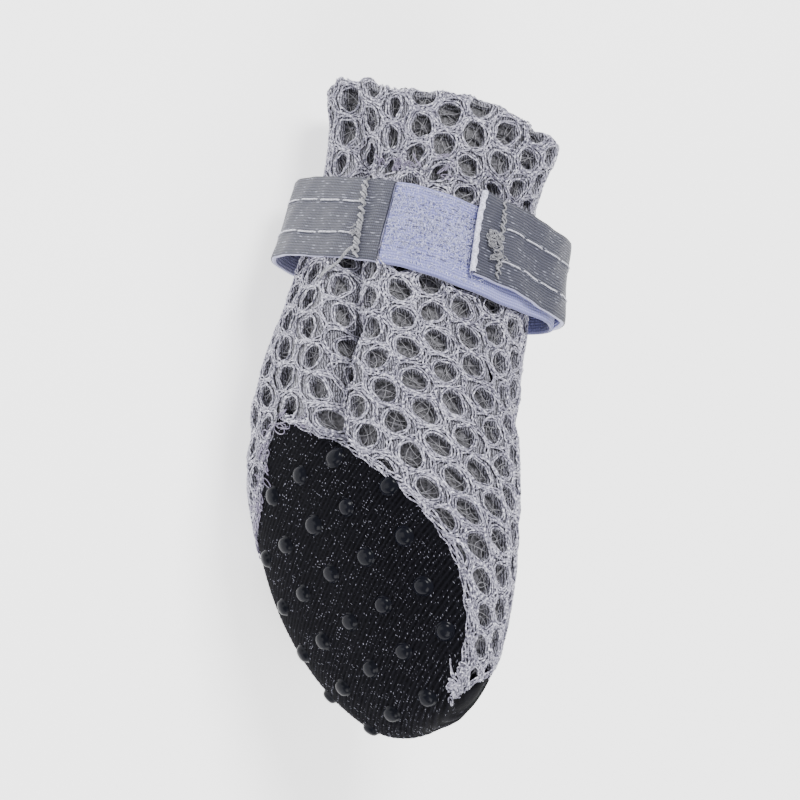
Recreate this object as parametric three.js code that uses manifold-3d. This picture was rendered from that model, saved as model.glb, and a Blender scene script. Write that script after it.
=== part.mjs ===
// Dog boot, millimetres, +Z up.
//
// A sock-shaped boot: an upper of spacer mesh, a sewn-in black sole panel with rubber grip dots,
// and a hook-and-loop strap. It is worked out in the boot's own frame: x runs to the toe, y to the
// back of the paw (the dorsal side), z to the outer flank, and the sole lies near y = 0. The shaft
// leans back from the foot, so the boot would tip over if it stood. It is laid on its inner flank
// at the end: the sole's edge and the upper's collar both rest on the floor, z = 0.
import * as THREE from 'three';
import { mergeVertices } from 'three/addons/utils/BufferGeometryUtils.js';
import Module from 'manifold-3d';

const wasm = await Module();
wasm.setup();

// ---- driving dimensions ------------------------------------------------------------------
const meshWall = 2.2;          // spacer mesh of the upper
const soleWall = 1.7;          // two layers of black twill
const seamGap = 0.3;           // between pieces that meet
const roundness = 2.3;         // superellipse exponent of every section
const columns = 40;            // facets round a section
const rowsPerStation = 3;      // facets from one station to the next
const restCut = 0.35;          // how deep the floor flattens what rests on it

const strapWidth = 15;
const strapThickness = 1.3;
const tapeThickness = 1.1;

const dotPitch = 8.4;          // between grip dots, along a column and from column to column
const middleAngle = 3;         // where column 0 would run, under the middle of the sole
const dotRadius = 1.55;
const dotHeight = 0.9;

// How the boot lies: tipped about its own x and y, then turned on the floor, in degrees.
const rest = { roll: -6.3, pitch: -4.6, yaw: -22 };

// ---- sections of the last, from the toe tip to the collar ---------------------------------
// x, y: centre; lean: how far the section's plane is turned back from upright, in degrees;
// turn: how far it faces the outer flank, in degrees; high, wide: half sizes; side: z of centre.
const stations = [
  { name: 'tip',    x: 28.9,  y: 6.6,  lean: 0,  turn: 0,  high: 0,    wide: 0,    side: -3.4 },
  { name: 'nose',   x: 26.8,  y: 7.2,  lean: 0,  turn: 0,  high: 5.2,  wide: 8.2,  side: -3.4 },
  { name: 'toe',    x: 21.0,  y: 8.9,  lean: 0,  turn: 0,  high: 9.0,  wide: 15.6, side: -3.0 },
  { name: 'ball',   x: 12.0,  y: 11.4, lean: 2,  turn: 0,  high: 12.1, wide: 21.8, side: -3.0 },
  { name: 'waist',  x: 1.5,   y: 14.6, lean: 6,  turn: 0,  high: 15.0, wide: 25.2, side: -3.0 },
  { name: 'instep', x: -9.0,  y: 18.4, lean: 18, turn: 0,  high: 18.0, wide: 25.0, side: -2.9 },
  { name: 'ankle',  x: -17.8, y: 23.0, lean: 32, turn: 0,  high: 19.8, wide: 23.8, side: -2.7 },
  { name: 'heel',   x: -26.0, y: 29.3, lean: 42, turn: 2,  high: 19.8, wide: 22.0, side: -2.0 },
  { name: 'shaft',  x: -36.0, y: 38.2, lean: 43, turn: 4,  high: 19.0, wide: 19.4, side: -0.8 },
  { name: 'neck',   x: -44.0, y: 45.7, lean: 41, turn: 6,  high: 18.0, wide: 18.0, side: -0.2 },
  { name: 'gather', x: -51.0, y: 52.4, lean: 39, turn: 9,  high: 17.3, wide: 17.3, side: 0 },
  { name: 'collar', x: -56.8, y: 57.9, lean: 37, turn: 12, high: 17.4, wide: 17.4, side: 0 },
  { name: 'rim',    x: -62.3, y: 63.1, lean: 35, turn: 15, high: 18.7, wide: 18.7, side: 0 },
];
const sizes = ['x', 'y', 'lean', 'turn', 'high', 'wide', 'side'];
const lastStation = stations.length - 1;

// ---- edge of the sole panel ---------------------------------------------------------------
// station: place along the last, counted from the tip; outer, inner: the angles at which the
// panel ends on either flank. In front of the first row the toe cap takes over.
const panelEdge = [
  { station: 0.9, outer: 60, inner: -72 },
  { station: 1.5, outer: 62, inner: -86 },
  { station: 2.2, outer: 65, inner: -98 },
  { station: 2.8, outer: 67, inner: -103 },
  { station: 3.4, outer: 65, inner: -103 },
  { station: 4.0, outer: 59, inner: -101 },
  { station: 4.5, outer: 51, inner: -90 },
  { station: 4.8, outer: 44, inner: -54 },
  { station: 5.1, outer: 35, inner: -32 },
  { station: 5.4, outer: 25, inner: -21 },
  { station: 5.7, outer: 9,  inner: -15 },
  { station: 6.0, outer: -4, inner: -8 },
];
const toeCap = { x: 24.3, y: 4.2, slant: 10.5 };   // its edge, and how far that edge tips back

// ---- rows of grip dots: how far each column is from the middle, and its first dot and count --
const dotColumns = [
  { column: -2.17, first: -8.1,  count: 4 },
  { column: -1.17, first: -17.4, count: 6 },
  { column: -0.17, first: -18.6, count: 6 },
  { column: 0.83,  first: -19.2, count: 6 },
  { column: 1.83,  first: -11.2, count: 4 },
];

// ---- strap: a plane across the shaft, and where the band stands off it in a lobe -------------
const strapPlane = { x: -44.2, y: 46.2, lean: 35, turn: 18 };
const strapLobes = [
  { angle: -35, reach: 3.4, spread: 27 },
  { angle: 145, reach: 4.0, spread: 22 },
];
const ribbonStart = 36;        // the ribbon's stitched end, on the outer flank
const tabEnd = 83;             // where its free end lies after going once round
const tapeEnd = 166;
const bandStep = 7.5;          // degrees a facet

const climb = { end: 8, start: 45 };   // how many degrees before the tape the ribbon rises over it

const radians = THREE.MathUtils.degToRad;

// The value from low to high at which a test stops being true.
function bisect(low, high, isBefore) {
  const halvings = 30;
  for (let i = 0; i < halvings; i++) {
    const middle = (low + high) / 2;
    if (isBefore(middle)) low = middle;
    else high = middle;
  }
  return low;
}

// ---- the last's skin -------------------------------------------------------------------------

// Mirrored beyond the tip, the sections pass through zero size there, so the toe comes out round.
function stationRow(i) {
  if (i < 0) return { ...stations[-i], high: -stations[-i].high, wide: -stations[-i].wide };
  if (i <= lastStation) return stations[i];
  const [before, end] = stations.slice(-2);
  return Object.fromEntries(sizes.map((key) => [key, 2 * end[key] - before[key]]));
}

// Catmull-Rom between the stations.
function sectionAt(station) {
  const i = Math.min(Math.floor(station), lastStation - 1);
  const f = station - i;
  const rows = [stationRow(i - 1), stationRow(i), stationRow(i + 1), stationRow(i + 2)];
  const section = {};
  for (const key of sizes) {
    const [a, b, c, d] = rows.map((row) => row[key]);
    section[key] = b + 0.5 * f * (c - a + f * (2 * a - 5 * b + 4 * c - d + f * (3 * (b - c) + d - a)));
  }
  return section;
}

// The unit vectors of a plane across the boot: along it to the collar, under it, and to its flank.
function planeAxes({ lean, turn }) {
  const [cosLean, sinLean] = [Math.cos(radians(lean)), Math.sin(radians(lean))];
  const [cosTurn, sinTurn] = [Math.cos(radians(turn)), Math.sin(radians(turn))];
  return {
    along: new THREE.Vector3(-cosLean * cosTurn, sinLean * cosTurn, sinTurn),
    under: new THREE.Vector3(-sinLean, -cosLean, 0),
    flank: new THREE.Vector3(cosLean * sinTurn, -sinLean * sinTurn, cosTurn),
  };
}

const signedPower = (value, exponent) => Math.sign(value) * Math.abs(value) ** exponent;

// A point of the skin: angle 0 is under the sole, 90 the outer flank, 180 the dorsal side.
function skinPoint(station, angle, spread = 1) {
  const section = sectionAt(station);
  const { under, flank } = planeAxes(section);
  const down = section.high * spread * signedPower(Math.cos(radians(angle)), 2 / roundness);
  const out = section.wide * spread * signedPower(Math.sin(radians(angle)), 2 / roundness);
  return new THREE.Vector3(section.x, section.y, section.side)
    .addScaledVector(under, down)
    .addScaledVector(flank, out);
}

// The outward normal, from small steps along and round the skin.
function skinNormal(station, angle) {
  const [stepAlong, stepRound] = [0.02, 1];
  const ahead = Math.max(station - stepAlong, 0.01);
  const behind = Math.min(station + stepAlong, lastStation);
  const along = skinPoint(behind, angle).sub(skinPoint(ahead, angle));
  const round = skinPoint(station, angle + stepRound).sub(skinPoint(station, angle - stepRound));
  return round.cross(along).normalize();
}

const raisedPoint = (station, angle, height) =>
  skinPoint(station, angle).addScaledVector(skinNormal(station, angle), height);

// ---- solids --------------------------------------------------------------------------------------

// Joins rings of points, each of the same count or a single point, into one closed surface.
function loft(rings) {
  const starts = [];
  const positions = [];
  for (const ring of rings) {
    starts.push(positions.length / 3);
    for (const point of ring) positions.push(point.x, point.y, point.z);
  }
  const index = [];
  for (let r = 0; r + 1 < rings.length; r++) {
    const [a, b] = [starts[r], starts[r + 1]];
    const [countA, countB] = [rings[r].length, rings[r + 1].length];
    const count = Math.max(countA, countB);
    for (let k = 0; k < count; k++) {
      const next = (k + 1) % count;
      if (countA > 1) index.push(a + k, a + next, b + (countB > 1 ? next : 0));
      if (countB > 1) index.push(a + (countA > 1 ? k : 0), b + next, b + k);
    }
  }
  const geometry = new THREE.BufferGeometry();
  geometry.setAttribute('position', new THREE.Float32BufferAttribute(positions, 3));
  geometry.setIndex(index);
  return geometry;
}

function middle(ring) {
  const sum = ring.reduce((total, point) => total.add(point), new THREE.Vector3());
  return [sum.divideScalar(ring.length)];
}

const cappedLoft = (rings) => loft([middle(rings[0]), ...rings, middle(rings.at(-1))]);

function toSolid(geometry) {
  const bare = geometry.clone();
  bare.deleteAttribute('normal');
  bare.deleteAttribute('uv');
  const merged = mergeVertices(bare, 1e-4);
  const mesh = new wasm.Mesh({
    numProp: 3,
    vertProperties: new Float32Array(merged.attributes.position.array),
    triVerts: new Uint32Array(merged.index.array),
  });
  return new wasm.Manifold(mesh);
}

function toGeometry(solid) {
  const mesh = solid.getMesh();
  const geometry = new THREE.BufferGeometry();
  geometry.setAttribute('position', new THREE.Float32BufferAttribute(mesh.vertProperties, 3));
  geometry.setIndex(Array.from(mesh.triVerts));
  return geometry;
}

// The whole boot as a hollow sock with a wall of the given thickness, open at the collar.
function sockSolid(wall) {
  const angles = Array.from({ length: columns }, (_, k) => (k * 360) / columns);
  const rows = lastStation * rowsPerStation;
  const ringAt = (row, depth) =>
    angles.map((angle) => raisedPoint(row / rowsPerStation, angle, -depth));
  const tip = skinPoint(0, 0);
  const rings = [[tip]];
  for (let row = 1; row <= rows; row++) rings.push(ringAt(row, 0));
  for (let row = rows; row >= 1; row--) rings.push(ringAt(row, wall));
  rings.push([new THREE.Vector3(tip.x - wall, tip.y, tip.z)]);
  return toSolid(loft(rings));
}

// The space that the sole panel takes up, grown all round by a given distance.
function panelSpace(grow) {
  const [rays, rows] = [8, 30];
  const outside = 1.5;                 // how far the space reaches past the skin, as a share
  const stationLength = 10;
  const [outerEdge, innerEdge] = ['outer', 'inner'].map((flank) =>
    new THREE.SplineCurve(panelEdge.map((row) => new THREE.Vector2(row.station, row[flank]))));
  const rings = Array.from({ length: rows + 1 }, (_, i) => {
    const [outer, inner] = [outerEdge.getPoint(i / rows), innerEdge.getPoint(i / rows)];
    const station = outer.x + grow / stationLength;
    const section = sectionAt(station);
    const widen = THREE.MathUtils.radToDeg(grow / section.wide);
    const [from, to] = [inner.y - widen, outer.y + widen];
    const ring = [new THREE.Vector3(section.x, section.y, section.side)];
    for (let k = 0; k <= rays; k++) {
      ring.push(skinPoint(station, from + ((to - from) * k) / rays, outside));
    }
    return ring;
  });
  const capSize = 80;                  // larger than the toe
  const cap = new THREE.BoxGeometry(capSize, capSize, capSize);
  cap.translate(capSize / 2 - grow, 0, 0);
  cap.rotateZ(radians(toeCap.slant));
  cap.translate(toeCap.x, toeCap.y, 0);
  return toSolid(cappedLoft(rings)).add(toSolid(cap));
}

// ---- grip dots -------------------------------------------------------------------------------------

// The station at which the skin at an angle has a given x; x falls all the way from the tip.
function stationOfX(x, angle) {
  const [tip, heel] = [0, 7];
  return bisect(tip, heel, (station) => skinPoint(station, angle).x > x);
}

// The angle reached by walking a given distance round the skin from the middle of the sole.
function angleOfArc(x, arc) {
  const step = Math.sign(arc);
  let angle = middleAngle;
  let walked = 0;
  while (walked < Math.abs(arc)) {
    const here = skinPoint(stationOfX(x, angle), angle);
    angle += step;
    walked += skinPoint(stationOfX(x, angle), angle).distanceTo(here);
  }
  return angle;
}

function gripDot(x, arc) {
  const angle = angleOfArc(x, arc);
  const station = stationOfX(x, angle);
  const dome = new THREE.SphereGeometry(1, 10, 6);
  dome.scale(dotRadius, dotHeight, dotRadius);
  const stand = new THREE.Quaternion();
  stand.setFromUnitVectors(new THREE.Vector3(0, 1, 0), skinNormal(station, angle));
  dome.applyQuaternion(stand);
  dome.translate(...skinPoint(station, angle).toArray());
  return toSolid(dome);
}

function gripDots() {
  const dots = [];
  for (const { column, first, count } of dotColumns) {
    for (let i = 0; i < count; i++) dots.push(gripDot(first + i * dotPitch, column * dotPitch));
  }
  return dots;
}

// ---- strap and tape ----------------------------------------------------------------------------------

// The station at which the skin crosses a plane beside the strap's own, at a distance along it.
function stationAcross(angle, distance) {
  const { along } = planeAxes(strapPlane);
  const centre = new THREE.Vector3(strapPlane.x, strapPlane.y, 0);
  const ankle = 6;
  return bisect(ankle, lastStation, (station) =>
    skinPoint(station, angle).sub(centre).dot(along) < distance);
}

function lobeHeight(angle) {
  let height = 0;
  for (const lobe of strapLobes) {
    const away = THREE.MathUtils.euclideanModulo(angle - lobe.angle + 180, 360) - 180;
    height += lobe.reach * Math.exp(-((away / lobe.spread) ** 2));
  }
  return height;
}

// A band lying on the shaft from one angle to another; lift gives its clearance at each angle.
function bandGeometry(from, to, thickness, lift) {
  const steps = Math.ceil(Math.abs(to - from) / bandStep);
  const rings = [];
  for (let i = 0; i <= steps; i++) {
    const angle = from + ((to - from) * i) / steps;
    const clear = lift(angle) + lobeHeight(angle);
    const edges = [-strapWidth / 2, strapWidth / 2].map((side) => stationAcross(angle, side));
    rings.push([
      raisedPoint(edges[0], angle, clear),
      raisedPoint(edges[1], angle, clear),
      raisedPoint(edges[1], angle, clear + thickness),
      raisedPoint(edges[0], angle, clear + thickness),
    ]);
  }
  return cappedLoft(to > from ? rings : rings.reverse());
}

const onShaft = () => seamGap;

// Going backwards round the shaft, the ribbon climbs onto the tape before it reaches it.
function overTape(angle) {
  const toTape = 360 - tapeEnd;
  const share = THREE.MathUtils.smoothstep(-angle, toTape - climb.start, toTape - climb.end);
  return seamGap + share * (tapeThickness + seamGap);
}

// ---- laying the boot down ----------------------------------------------------------------------------------
const layDown = new THREE.Matrix4()
  .makeRotationZ(radians(rest.yaw))
  .multiply(new THREE.Matrix4().makeRotationY(radians(rest.pitch)))
  .multiply(new THREE.Matrix4().makeRotationX(radians(rest.roll)));

const dots = gripDots();
const pieces = [
  {
    name: 'upper',
    solid: sockSolid(meshWall).subtract(panelSpace(seamGap)),
    look: { color: 0xb4b2bc, roughness: 0.8, metalness: 0 },
  },
  {
    name: 'sole',
    solid: dots.reduce((sole, dot) => sole.add(dot), sockSolid(soleWall).intersect(panelSpace(0))),
    look: { color: 0x18181c, roughness: 0.65, metalness: 0 },
  },
  {
    name: 'strap',
    solid: toSolid(bandGeometry(ribbonStart, tabEnd - 360, strapThickness, overTape)),
    look: { color: 0x7c8086, roughness: 0.5, metalness: 0 },
  },
  {
    name: 'loop_tape',
    solid: toSolid(bandGeometry(ribbonStart + 1, tapeEnd, tapeThickness, onShaft)),
    look: { color: 0xc4c4e0, roughness: 0.9, metalness: 0 },
  },
];

for (const piece of pieces) piece.laid = toGeometry(piece.solid).applyMatrix4(layDown);

const wholeBox = new THREE.Box3();
for (const { laid } of pieces) {
  laid.computeBoundingBox();
  wholeBox.union(laid.boundingBox);
}
const floorLevel = wholeBox.min.z + restCut;

const groundSize = 400;                // wider than the boot, and as deep
const ground = new THREE.BoxGeometry(groundSize, groundSize, groundSize);
ground.translate(0, 0, floorLevel - groundSize / 2);

const boot = new THREE.Group();
for (const { name, laid, look } of pieces) {
  const geometry = toGeometry(toSolid(laid).subtract(toSolid(ground)));
  const mesh = new THREE.Mesh(geometry, new THREE.MeshStandardMaterial(look));
  mesh.name = name;
  boot.add(mesh);
}
const centre = wholeBox.getCenter(new THREE.Vector3());
boot.position.set(-centre.x, -centre.y, -floorLevel);

export default boot;
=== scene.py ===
"""Dog boot of honeycomb mesh with a black grip-dot sole panel and a hook-and-loop strap."""
import math

import bpy
import numpy as np
from mathutils import Matrix, Vector


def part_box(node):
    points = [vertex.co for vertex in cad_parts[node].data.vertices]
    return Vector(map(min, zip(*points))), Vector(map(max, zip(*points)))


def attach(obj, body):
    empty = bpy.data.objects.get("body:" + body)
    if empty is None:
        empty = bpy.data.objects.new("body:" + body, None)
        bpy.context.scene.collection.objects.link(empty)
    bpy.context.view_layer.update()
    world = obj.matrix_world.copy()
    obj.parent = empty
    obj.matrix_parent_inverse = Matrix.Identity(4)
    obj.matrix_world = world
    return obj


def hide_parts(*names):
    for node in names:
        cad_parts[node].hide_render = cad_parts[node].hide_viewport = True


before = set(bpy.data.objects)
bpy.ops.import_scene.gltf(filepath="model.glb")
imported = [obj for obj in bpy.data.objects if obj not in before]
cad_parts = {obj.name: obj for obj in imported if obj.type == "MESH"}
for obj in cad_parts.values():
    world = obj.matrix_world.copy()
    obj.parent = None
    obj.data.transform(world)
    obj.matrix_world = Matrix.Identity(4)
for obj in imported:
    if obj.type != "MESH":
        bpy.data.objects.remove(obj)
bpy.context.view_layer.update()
rng = np.random.default_rng(7)
MM = 0.001

# ---- the boot's own sizes, in millimetres and degrees --------------------------------------------
# The boot's frame has x to the toe, y to the dorsal side and z to the outer flank.
# Sections of the last from the toe tip to the rim. Columns: the centre's x and y, the section's lean
# and turn, half its height, half its width, and the centre's z.
STATIONS = np.array([
    (28.9, 6.6, 0, 0, 0, 0, -3.4),           # tip
    (26.8, 7.2, 0, 0, 5.2, 8.2, -3.4),       # nose
    (21.0, 8.9, 0, 0, 9.0, 15.6, -3.0),      # toe
    (12.0, 11.4, 2, 0, 12.1, 21.8, -3.0),    # ball
    (1.5, 14.6, 6, 0, 15.0, 25.2, -3.0),     # waist
    (-9.0, 18.4, 18, 0, 18.0, 25.0, -2.9),   # instep
    (-17.8, 23.0, 32, 0, 19.8, 23.8, -2.7),  # ankle
    (-26.0, 29.3, 42, 2, 19.8, 22.0, -2.0),  # heel
    (-36.0, 38.2, 43, 4, 19.0, 19.4, -0.8),  # shaft
    (-44.0, 45.7, 41, 6, 18.0, 18.0, -0.2),  # neck
    (-51.0, 52.4, 39, 9, 17.3, 17.3, 0),     # gather
    (-56.8, 57.9, 37, 12, 17.4, 17.4, 0),    # collar
    (-62.3, 63.1, 35, 15, 18.7, 18.7, 0),    # rim
], dtype=float)
LAST = len(STATIONS) - 1
ROUNDNESS = 2.3             # exponent of a section's rounded outline; 2 would be an ellipse
REST = {"roll": -6.3, "pitch": -4.6, "yaw": -22.0}

# Edge of the sole panel: station, angle on the outer flank, angle on the inner flank.
PANEL_EDGE = np.array([
    (0.9, 60, -72), (1.5, 62, -86), (2.2, 65, -98), (2.8, 67, -103), (3.4, 65, -103),
    (4.0, 59, -101), (4.5, 51, -90), (4.8, 44, -54), (5.1, 35, -32), (5.4, 25, -21),
    (5.7, 9, -15), (6.0, -4, -8),
], dtype=float)
PANEL_TOP = 6.05            # the station where the panel's point ends, under the heel
STATION_MM = 9.0            # about how far it is from one station to the next there
CAP = {"x": 24.3, "y": 4.2, "slant": 10.5}    # a point on the toe cap's edge, and the edge's slant

WALL = 2.2                  # thickness of the mesh
NET_DEPTH = 1.35            # from the mesh's skin down to its fine back net
PLEAT_ANGLE = 24.0          # the pleat runs down this side of the shaft
RIM_REACH = 15.0            # the rim's rises fade out this far below it
RIM_RISES = ((-15.0, 25.0, 3.2), (72.0, 30.0, 1.4))    # where the rim stands up: angle, spread, height

# ---- skin of the last ----------------------------------------------------------------------------


def rotation(axis, degrees):
    return np.array(Matrix.Rotation(math.radians(degrees), 3, axis))


LAY_DOWN = rotation("Z", REST["yaw"]) @ rotation("Y", REST["pitch"]) @ rotation("X", REST["roll"])


def section_at(station):
    """Catmull-Rom through the stations; mirrored rows in front of the tip make the toe round."""
    mirrored = STATIONS[1] * np.array([1, 1, 1, 1, -1, -1, 1])
    rows = np.vstack([mirrored, STATIONS, 2 * STATIONS[-1] - STATIONS[-2]])
    i = np.clip(np.floor(station).astype(int), 0, LAST - 1)
    f = (station - i)[..., None]
    a, b, c, d = (rows[i + k] for k in range(4))
    return b + 0.5 * f * (c - a + f * (2 * a - 5 * b + 4 * c - d + f * (3 * (b - c) + d - a)))


def plane_axes(lean, turn):
    """A section's three directions: along the last, to the sole and to the outer flank."""
    lean, turn = np.radians(lean), np.radians(turn)
    zero = np.zeros_like(lean)
    along = np.stack([-np.cos(lean) * np.cos(turn), np.sin(lean) * np.cos(turn), np.sin(turn)], -1)
    under = np.stack([-np.sin(lean), -np.cos(lean), zero], -1)
    flank = np.stack([np.cos(lean) * np.sin(turn), -np.sin(lean) * np.sin(turn), np.cos(turn)], -1)
    return along, under, flank


def signed_power(value, exponent):
    return np.sign(value) * np.abs(value) ** exponent


def skin(station, angle):
    """A point of the last: angle 0 is under the sole, 90 the outer flank, 180 the dorsal side."""
    s = section_at(station)
    _, under, flank = plane_axes(s[..., 2], s[..., 3])
    a = np.radians(angle)
    down = (s[..., 4] * signed_power(np.cos(a), 2 / ROUNDNESS))[..., None]
    out = (s[..., 5] * signed_power(np.sin(a), 2 / ROUNDNESS))[..., None]
    centre = np.stack([s[..., 0], s[..., 1], s[..., 6]], -1)
    return centre + under * down + flank * out


def smooth(value, low, high):
    """0 below low, 1 above high and an S-curve between."""
    t = np.clip((value - low) / (high - low), 0, 1)
    return t * t * (3 - 2 * t)


def turn_between(angle, other):
    """The shorter way round from one angle to another, with its sign."""
    return (angle - other + 180) % 360 - 180


# ---- creases, gathers and dents, as heights over the skin in millimetres -------------------------
CREASES = (
    # station and angle of one end, station and angle of the other, height, width in degrees
    (8.1, 22, 7.0, 28, -3.1, 5.0),
    (7.0, 28, 5.6, 20, -2.7, 5.0),
    (12.0, -3, 9.0, 12, -1.6, 5.5),
    (8.1, 34, 6.4, 40, 0.7, 9.0),
    (7.9, 8, 6.2, 12, 0.8, 10.0),
    (12.0, -22, 10.4, -14, 0.9, 10.0),
    (6.3, -8, 6.0, -75, -0.9, 7.0),
    (6.5, 120, 5.6, 175, -0.8, 12.0),
    (7.4, 150, 7.0, 200, -0.7, 12.0),
    (10.1, 22, 9.9, 60, -1.0, 6.0),
    (11.7, 120, 11.1, 112, 1.1, 15.0),
    (10.2, 124, 10.0, 92, -0.6, 11.0),
    (1.3, 115, 0.6, 150, 0.9, 30.0),
    (11.9, 60, 10.6, 66, -0.5, 8.0),
    (11.9, 110, 10.4, 104, -0.6, 9.0),
    (11.9, 165, 10.2, 170, -0.7, 9.0),
    (11.9, 230, 10.2, 224, -0.7, 9.0),
    (11.9, 290, 10.3, 292, -0.7, 9.0),
)
DEGREES_PER_STATION = 28.0    # a station is about as long as this many degrees of the shaft
GATHER_STATION = 9.9        # the collar's gathers lie about this station, this much to either side
GATHER_SPREAD = 0.55


def crease_height(station, angle):
    """All creases together, with the gathers under the collar and a little slack in the shaft."""
    total = np.zeros(np.broadcast(station, angle).shape)
    for first_station, first_angle, last_station, last_angle, height, width in CREASES:
        crease_down = (last_station - first_station) * DEGREES_PER_STATION
        crease_round = last_angle - first_angle
        down = (station - first_station) * DEGREES_PER_STATION
        around = turn_between(angle, first_angle)
        share = (down * crease_down + around * crease_round) / (crease_down ** 2 + crease_round ** 2)
        share = np.clip(share, 0, 1)
        gap = np.hypot(down - share * crease_down, around - share * crease_round)
        total += height * np.exp(-(gap / width) ** 2)
    gathers = np.cos(np.radians(angle * 17)) * 0.28 + np.cos(np.radians(angle * 11 + 50)) * 0.22
    total += gathers * np.exp(-((station - GATHER_STATION) / GATHER_SPREAD) ** 2)
    slack = np.sin(np.radians(angle * 3 + 40)) * np.sin(station * 1.7 + 0.6) * 0.35
    total += slack * smooth(station, 4.5, 6.5)
    return total * smooth(station, 0.1, 0.7)


# ---- the cloth: a grid over angle and arc length from the rim ------------------------------------
ARC_STEP = 0.25
ANGLE_STEP = 1.0
angles = np.arange(0, 360 + ANGLE_STEP, ANGLE_STEP)
FINE_STATIONS = np.linspace(LAST, 0.02, 900)
lines = skin(FINE_STATIONS[None, :], angles[:, None])
steps_down = np.linalg.norm(np.diff(lines, axis=1), axis=2)
FINE_ARCS = np.concatenate([np.zeros((len(angles), 1)), steps_down.cumsum(1)], axis=1)
LENGTH = FINE_ARCS[:, -1].max()
arcs = np.arange(0, LENGTH + ARC_STEP, ARC_STEP)
STATION_GRID = np.stack([np.interp(arcs, down, FINE_STATIONS) for down in FINE_ARCS])
BARE = skin(STATION_GRID, angles[:, None])


def grid_normals(grid):
    """Outward normals of a grid of points over angle and arc."""
    down = np.gradient(grid, axis=1)
    wrapped = np.concatenate([grid[-2:-1], grid, grid[1:2]])
    around = wrapped[2:] - wrapped[:-2]
    normal = np.cross(around, -down)
    size = np.linalg.norm(normal, axis=2, keepdims=True)
    return normal / np.maximum(size, 1e-9)


BARE_NORMAL = grid_normals(BARE)
POINTS = BARE + BARE_NORMAL * crease_height(STATION_GRID, angles[:, None])[..., None]
NORMALS = grid_normals(POINTS)


def cap_depth(point):
    """How far a point is in front of the toe cap's edge, in millimetres."""
    slant = math.radians(CAP["slant"])
    return (point[..., 0] - CAP["x"]) * math.cos(slant) + (point[..., 1] - CAP["y"]) * math.sin(slant)


outer_edge = np.interp(STATION_GRID, PANEL_EDGE[:, 0], PANEL_EDGE[:, 1])
inner_edge = np.interp(STATION_GRID, PANEL_EDGE[:, 0], PANEL_EDGE[:, 2])
signed_angle = turn_between(angles[:, None], 0)
around_mm = np.radians(np.maximum(section_at(STATION_GRID)[..., 5], 3))
in_sector = np.minimum(outer_edge - signed_angle, signed_angle - inner_edge) * around_mm
in_sector = np.minimum(in_sector, (PANEL_TOP - STATION_GRID) * STATION_MM)
PANEL = np.maximum(in_sector, cap_depth(BARE))      # millimetres inside the sole panel, negative outside


def lookup(grid, angle, arc):
    """Bilinear reading of a grid over angle and arc."""
    a = np.mod(angle, 360) / ANGLE_STEP
    s = np.clip(arc / ARC_STEP, 0, grid.shape[1] - 1.001)
    i, j = np.floor(a).astype(int), np.floor(s).astype(int)
    i = np.minimum(i, grid.shape[0] - 2)
    f, g = a - i, s - j
    if grid.ndim == 3:
        f, g = f[..., None], g[..., None]
    top = grid[i, j] * (1 - g) + grid[i, j + 1] * g
    bottom = grid[i + 1, j] * (1 - g) + grid[i + 1, j + 1] * g
    return top * (1 - f) + bottom * f


def unit(vectors):
    return vectors / np.maximum(np.linalg.norm(vectors, axis=-1, keepdims=True), 1e-9)


def cloth(angle, arc, height):
    """A point of the upper's cloth and its normal. Arc below zero goes over the rim's fold, inside."""
    angle, arc, height = np.broadcast_arrays(angle * 1.0, arc * 1.0, height * 1.0)
    fold = WALL / 2
    over = np.clip(-arc / fold, 0, math.pi)
    inside = np.maximum(-arc - math.pi * fold, 0)
    at = np.where(arc < 0, inside, arc)
    point, normal = lookup(POINTS, angle, at), unit(lookup(NORMALS, angle, at))
    rim = np.zeros_like(at)
    ahead = unit(lookup(POINTS, angle, rim) - lookup(POINTS, angle, rim + 1.5))
    facing = np.cos(over)[..., None] * normal + np.sin(over)[..., None] * ahead
    rise = sum(high * np.exp(-(turn_between(angle, at_angle) / spread) ** 2)
               for at_angle, spread, high in RIM_RISES)
    point = point + ahead * (rise * (1 - smooth(at, 0, RIM_REACH)))[..., None]
    return point - normal * fold + facing * (fold + height[..., None]), facing


# The laid skin is shifted so that its rim and flank lie where the frame's upper has them.
laid_rim = skin(np.full(72, float(LAST)), np.arange(0, 360, 5.0)) @ LAY_DOWN.T
upper_low, upper_high = (np.array(c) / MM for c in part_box("upper"))
laid_top = (BARE.reshape(-1, 3) @ LAY_DOWN.T)[:, 2].max()
SHIFT = np.array([
    upper_low[0] - laid_rim[:, 0].min(),
    upper_high[1] - laid_rim[:, 1].max(),
    upper_high[2] - laid_top,
])


def to_world(points):
    """From millimetres in the boot's frame to metres in the shared frame."""
    return (points @ LAY_DOWN.T + SHIFT) * MM


# ---- mesh making ---------------------------------------------------------------------------------
FLOOR_GAP = 0.00002         # metres: cloth that would reach the floor is pressed flat just over it


def make_piece(name, points, faces, material, slot, cloth_place=None):
    """One object from arrays of points in the boot's frame and of quads or triangles."""
    world = to_world(points.reshape(-1, 3))
    world[:, 2] = np.maximum(world[:, 2], FLOOR_GAP)
    mesh = bpy.data.meshes.new(name)
    mesh.vertices.add(len(world))
    mesh.vertices.foreach_set("co", world.ravel())
    mesh.loops.add(faces.size)
    mesh.loops.foreach_set("vertex_index", faces.ravel())
    mesh.polygons.add(len(faces))
    mesh.polygons.foreach_set("loop_start", np.arange(0, faces.size, faces.shape[1]))
    mesh.update(calc_edges=True)
    mesh.validate()
    mesh.shade_smooth()
    if cloth_place is not None:
        flat = mesh.attributes.new("cloth", "FLOAT_VECTOR", "POINT")
        padded = np.zeros((len(world), 3))
        padded[:, :cloth_place.shape[-1]] = cloth_place
        flat.data.foreach_set("vector", padded.ravel())
    mesh.materials.append(material)
    piece = bpy.data.objects.new(name, mesh)
    bpy.context.scene.collection.objects.link(piece)
    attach(piece, "root")
    return piece


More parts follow.
